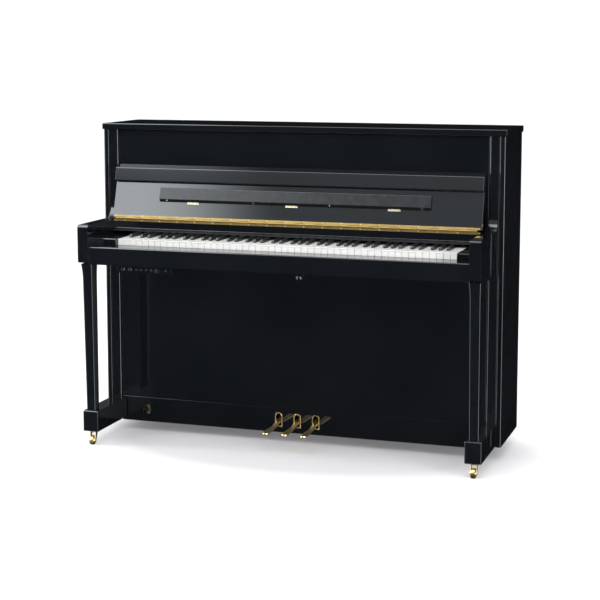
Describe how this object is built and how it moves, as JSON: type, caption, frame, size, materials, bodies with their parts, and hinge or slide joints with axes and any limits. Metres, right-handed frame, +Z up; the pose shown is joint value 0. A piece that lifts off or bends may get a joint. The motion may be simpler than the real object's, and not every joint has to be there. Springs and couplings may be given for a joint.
{
  "type": "upright piano",
  "caption": "Glossy black upright piano with a lid, fallboard, folding music shelf, brass pedals, moving keys, hammers and dampers, front legs on casters and a headphone box.",
  "frame": {"origin": "on the floor, under the middle of the box that holds the whole piano", "axes": "+X to the player's right along the keyboard, +Y from the player to the wall, +Z up"},
  "size_m": [1.49, 0.59, 1.14],
  "materials": {
    "polished_black": "piano black polyester, high gloss",
    "brass": "polished brass",
    "key_white": "satin white key tops",
    "key_black": "satin black key tops",
    "spruce": "clear satin lacquer",
    "beech": "clear satin lacquer",
    "plate_gold": "gold-bronze lacquer",
    "string_steel": "bright wire",
    "string_copper": "copper-wound wire",
    "felt": "wool felt",
    "black_steel": "satin black",
    "box_plastic": "fine-grained black"
  },
  "bodies": {
    "case": {"side_panel_left": "polished_black", "side_panel_right": "polished_black", "arm_left": "polished_black", "arm_right": "polished_black", "leg_left": "polished_black", "leg_right": "polished_black", "toe_left": "polished_black", "toe_right": "polished_black", "upper_front_panel": "polished_black", "lower_front_panel": "polished_black", "bottom_rail": "polished_black", "key_slip": "polished_black", "key_block_left": "polished_black", "key_block_right": "polished_black", "nameboard": "polished_black", "nameboard_hinge_leaf": "brass", "bottom_board": "beech", "keybed": "beech", "back_frame": "beech", "pin_block": "beech", "soundboard": "spruce", "iron_plate": "plate_gold", "strings_treble": "string_steel", "strings_bass": "string_copper", "action_frame": "black_steel", "roller_bracket_left": "black_steel", "roller_bracket_right": "black_steel", "control_box": "box_plastic"},
    "top_lid": {"top_lid": "polished_black"},
    "fallboard": {"fallboard": "polished_black", "fallboard_hinge_leaf": "brass"},
    "music_shelf": {"music_shelf": "polished_black"},
    "pedal_soft": {"pedal_soft": "brass"},
    "pedal_middle": {"pedal_middle": "brass"},
    "pedal_sustain": {"pedal_sustain": "brass"},
    "white_keys": {"white_keys": "key_white"},
    "black_keys": {"black_keys": "key_black"},
    "hammers": {"hammers": "felt"},
    "dampers": {"dampers": "felt"},
    "hammer_stop_rail": {"hammer_stop_rail": "black_steel"},
    "mute_lever": {"mute_lever": "polished_black"},
    "volume_knob": {"volume_knob": "box_plastic"},
    "caster_fork_left": {"caster_fork_left": "brass"},
    "caster_fork_right": {"caster_fork_right": "brass"},
    "caster_wheel_left": {"caster_wheel_left": "brass"},
    "caster_wheel_right": {"caster_wheel_right": "brass"},
    "roller_left": {"roller_left": "black_steel"},
    "roller_right": {"roller_right": "black_steel"},
    "key_c4": {"key_c4": "key_white"},
    "key_c_sharp_4": {"key_c_sharp_4": "key_black"},
    "key_d4": {"key_d4": "key_white"},
    "key_d_sharp_4": {"key_d_sharp_4": "key_black"},
    "key_e4": {"key_e4": "key_white"},
    "key_f4": {"key_f4": "key_white"},
    "key_f_sharp_4": {"key_f_sharp_4": "key_black"},
    "key_g4": {"key_g4": "key_white"},
    "key_g_sharp_4": {"key_g_sharp_4": "key_black"},
    "key_a4": {"key_a4": "key_white"},
    "key_a_sharp_4": {"key_a_sharp_4": "key_black"},
    "key_b4": {"key_b4": "key_white"}
  },
  "joints": [
    {"name": "lid_hinge", "type": "hinge", "parent": "case", "child": "top_lid", "pos_m": [0, 0.2915, 1.118], "axis": [-1, 0, 0], "range_deg": [0, 95]},
    {"name": "fallboard_hinge", "type": "hinge", "parent": "case", "child": "fallboard", "pos_m": [0, -0.0915, 0.803], "axis": [1, 0, 0], "range_deg": [0, 122]},
    {"name": "music_shelf_hinge", "type": "hinge", "parent": "fallboard", "child": "music_shelf", "pos_m": [0, -0.07189, 0.86394], "axis": [-1, 0, 0], "range_deg": [-80, 0]},
    {"name": "pedal_soft_pivot", "type": "hinge", "parent": "case", "child": "pedal_soft", "pos_m": [-0.07, 0.08, 0.092], "axis": [1, 0, 0], "range_deg": [0, 5.5], "stiffness_Nm_per_rad": 40, "springref_deg": -2.86},
    {"name": "pedal_middle_pivot", "type": "hinge", "parent": "case", "child": "pedal_middle", "pos_m": [0, 0.08, 0.092], "axis": [1, 0, 0], "range_deg": [0, 5.5], "stiffness_Nm_per_rad": 40, "springref_deg": -2.86},
    {"name": "pedal_sustain_pivot", "type": "hinge", "parent": "case", "child": "pedal_sustain", "pos_m": [0.07, 0.08, 0.092], "axis": [1, 0, 0], "range_deg": [0, 5.5], "stiffness_Nm_per_rad": 40, "springref_deg": -2.86},
    {"name": "key_c4_balance", "type": "hinge", "parent": "case", "child": "key_c4", "pos_m": [0, -0.005, 0.72], "axis": [1, 0, 0], "range_deg": [0, 2.6], "stiffness_Nm_per_rad": 3, "springref_deg": -2.86},
    {"name": "key_c_sharp_4_balance", "type": "hinge", "parent": "case", "child": "key_c_sharp_4", "pos_m": [0, -0.005, 0.72], "axis": [1, 0, 0], "range_deg": [0, 2.6], "stiffness_Nm_per_rad": 3, "springref_deg": -2.86},
    {"name": "key_d4_balance", "type": "hinge", "parent": "case", "child": "key_d4", "pos_m": [0, -0.005, 0.72], "axis": [1, 0, 0], "range_deg": [0, 2.6], "stiffness_Nm_per_rad": 3, "springref_deg": -2.86},
    {"name": "key_d_sharp_4_balance", "type": "hinge", "parent": "case", "child": "key_d_sharp_4", "pos_m": [0, -0.005, 0.72], "axis": [1, 0, 0], "range_deg": [0, 2.6], "stiffness_Nm_per_rad": 3, "springref_deg": -2.86},
    {"name": "key_e4_balance", "type": "hinge", "parent": "case", "child": "key_e4", "pos_m": [0, -0.005, 0.72], "axis": [1, 0, 0], "range_deg": [0, 2.6], "stiffness_Nm_per_rad": 3, "springref_deg": -2.86},
    {"name": "key_f4_balance", "type": "hinge", "parent": "case", "child": "key_f4", "pos_m": [0, -0.005, 0.72], "axis": [1, 0, 0], "range_deg": [0, 2.6], "stiffness_Nm_per_rad": 3, "springref_deg": -2.86},
    {"name": "key_f_sharp_4_balance", "type": "hinge", "parent": "case", "child": "key_f_sharp_4", "pos_m": [0, -0.005, 0.72], "axis": [1, 0, 0], "range_deg": [0, 2.6], "stiffness_Nm_per_rad": 3, "springref_deg": -2.86},
    {"name": "key_g4_balance", "type": "hinge", "parent": "case", "child": "key_g4", "pos_m": [0, -0.005, 0.72], "axis": [1, 0, 0], "range_deg": [0, 2.6], "stiffness_Nm_per_rad": 3, "springref_deg": -2.86},
    {"name": "key_g_sharp_4_balance", "type": "hinge", "parent": "case", "child": "key_g_sharp_4", "pos_m": [0, -0.005, 0.72], "axis": [1, 0, 0], "range_deg": [0, 2.6], "stiffness_Nm_per_rad": 3, "springref_deg": -2.86},
    {"name": "key_a4_balance", "type": "hinge", "parent": "case", "child": "key_a4", "pos_m": [0, -0.005, 0.72], "axis": [1, 0, 0], "range_deg": [0, 2.6], "stiffness_Nm_per_rad": 3, "springref_deg": -2.86},
    {"name": "key_a_sharp_4_balance", "type": "hinge", "parent": "case", "child": "key_a_sharp_4", "pos_m": [0, -0.005, 0.72], "axis": [1, 0, 0], "range_deg": [0, 2.6], "stiffness_Nm_per_rad": 3, "springref_deg": -2.86},
    {"name": "key_b4_balance", "type": "hinge", "parent": "case", "child": "key_b4", "pos_m": [0, -0.005, 0.72], "axis": [1, 0, 0], "range_deg": [0, 2.6], "stiffness_Nm_per_rad": 3, "springref_deg": -2.86},
    {"name": "white_keys_balance", "type": "hinge", "parent": "case", "child": "white_keys", "pos_m": [0, -0.005, 0.72], "axis": [1, 0, 0], "range_deg": [0, 2.6], "stiffness_Nm_per_rad": 130, "springref_deg": -2.86},
    {"name": "black_keys_balance", "type": "hinge", "parent": "case", "child": "black_keys", "pos_m": [0, -0.005, 0.72], "axis": [1, 0, 0], "range_deg": [0, 2.6], "stiffness_Nm_per_rad": 60, "springref_deg": -2.86},
    {"name": "hammer_rail_pivot", "type": "hinge", "parent": "case", "child": "hammers", "pos_m": [0, 0.117, 0.852], "axis": [1, 0, 0], "range_deg": [-5, 0]},
    {"name": "damper_lift_pivot", "type": "hinge", "parent": "case", "child": "dampers", "pos_m": [0, 0.1525, 0.79], "axis": [1, 0, 0], "range_deg": [0, 3]},
    {"name": "mute_lever_slide", "type": "slide", "parent": "case", "child": "mute_lever", "axis": [0, -1, 0], "range_m": [0, 0.02]},
    {"name": "stop_rail_pivot", "type": "hinge", "parent": "case", "child": "hammer_stop_rail", "pos_m": [0, 0.14, 0.9], "axis": [1, 0, 0], "range_deg": [0, 40.5]},
    {"name": "volume_turn", "type": "hinge", "parent": "case", "child": "volume_knob", "pos_m": [-0.421, -0.272, 0.6455], "axis": [0, 1, 0], "range_deg": [0, 300]},
    {"name": "caster_left_swivel", "type": "hinge", "parent": "case", "child": "caster_fork_left", "pos_m": [-0.6935, -0.238, 0.05], "axis": [0, 0, 1], "continuous": true},
    {"name": "caster_right_swivel", "type": "hinge", "parent": "case", "child": "caster_fork_right", "pos_m": [0.6935, -0.238, 0.05], "axis": [0, 0, 1], "continuous": true},
    {"name": "caster_left_roll", "type": "hinge", "parent": "caster_fork_left", "child": "caster_wheel_left", "pos_m": [-0.6935, -0.25, 0.0165], "axis": [1, 0, 0], "continuous": true},
    {"name": "caster_right_roll", "type": "hinge", "parent": "caster_fork_right", "child": "caster_wheel_right", "pos_m": [0.6935, -0.25, 0.0165], "axis": [1, 0, 0], "continuous": true},
    {"name": "roller_left_roll", "type": "hinge", "parent": "case", "child": "roller_left", "pos_m": [-0.6, 0.255, 0.029], "axis": [1, 0, 0], "continuous": true},
    {"name": "roller_right_roll", "type": "hinge", "parent": "case", "child": "roller_right", "pos_m": [0.6, 0.255, 0.029], "axis": [1, 0, 0], "continuous": true}
  ],
  "couplings": [
    {"joint": "hammer_rail_pivot", "follows": "pedal_soft_pivot", "ratio": -0.85},
    {"joint": "damper_lift_pivot", "follows": "pedal_sustain_pivot", "ratio": 0.5},
    {"joint": "stop_rail_pivot", "follows": "mute_lever_slide", "rad_per_m": 34.9}
  ]
}
